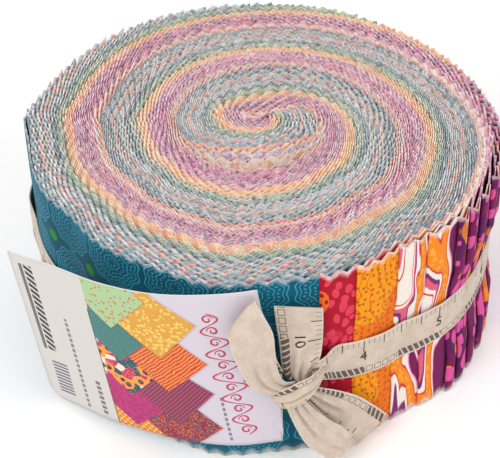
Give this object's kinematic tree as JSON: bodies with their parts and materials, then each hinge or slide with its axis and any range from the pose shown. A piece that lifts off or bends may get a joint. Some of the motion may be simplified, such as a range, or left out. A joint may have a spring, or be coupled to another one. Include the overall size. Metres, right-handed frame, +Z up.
{
  "type": "roll of quilting fabric strips",
  "caption": "Round roll of printed quilting cotton strips with pinked edges, standing on end, tied at mid height with a cotton tape in a bow and carrying a curved paper label",
  "frame": {"origin": "middle of the roll's foot, on the surface that it stands on", "axes": "+Z up along the roll's axis, -Y the front where the tape is knotted, +X to the right seen from the front"},
  "size_m": [0.1336, 0.1419, 0.0635],
  "materials": {
    "cotton_strips": "plain-woven printed cotton, pinked",
    "cotton_tape": "natural twill tape",
    "label_card": "smooth printed card"
  },
  "bodies": {
    "root": {"strip_roll": "cotton_strips", "tape_band": "cotton_tape", "tape_knot": "cotton_tape", "loop_upper": "cotton_tape", "loop_lower": "cotton_tape", "tail_upper": "cotton_tape", "tail_lower": "cotton_tape", "label_card": "label_card"}
  },
  "joints": []
}
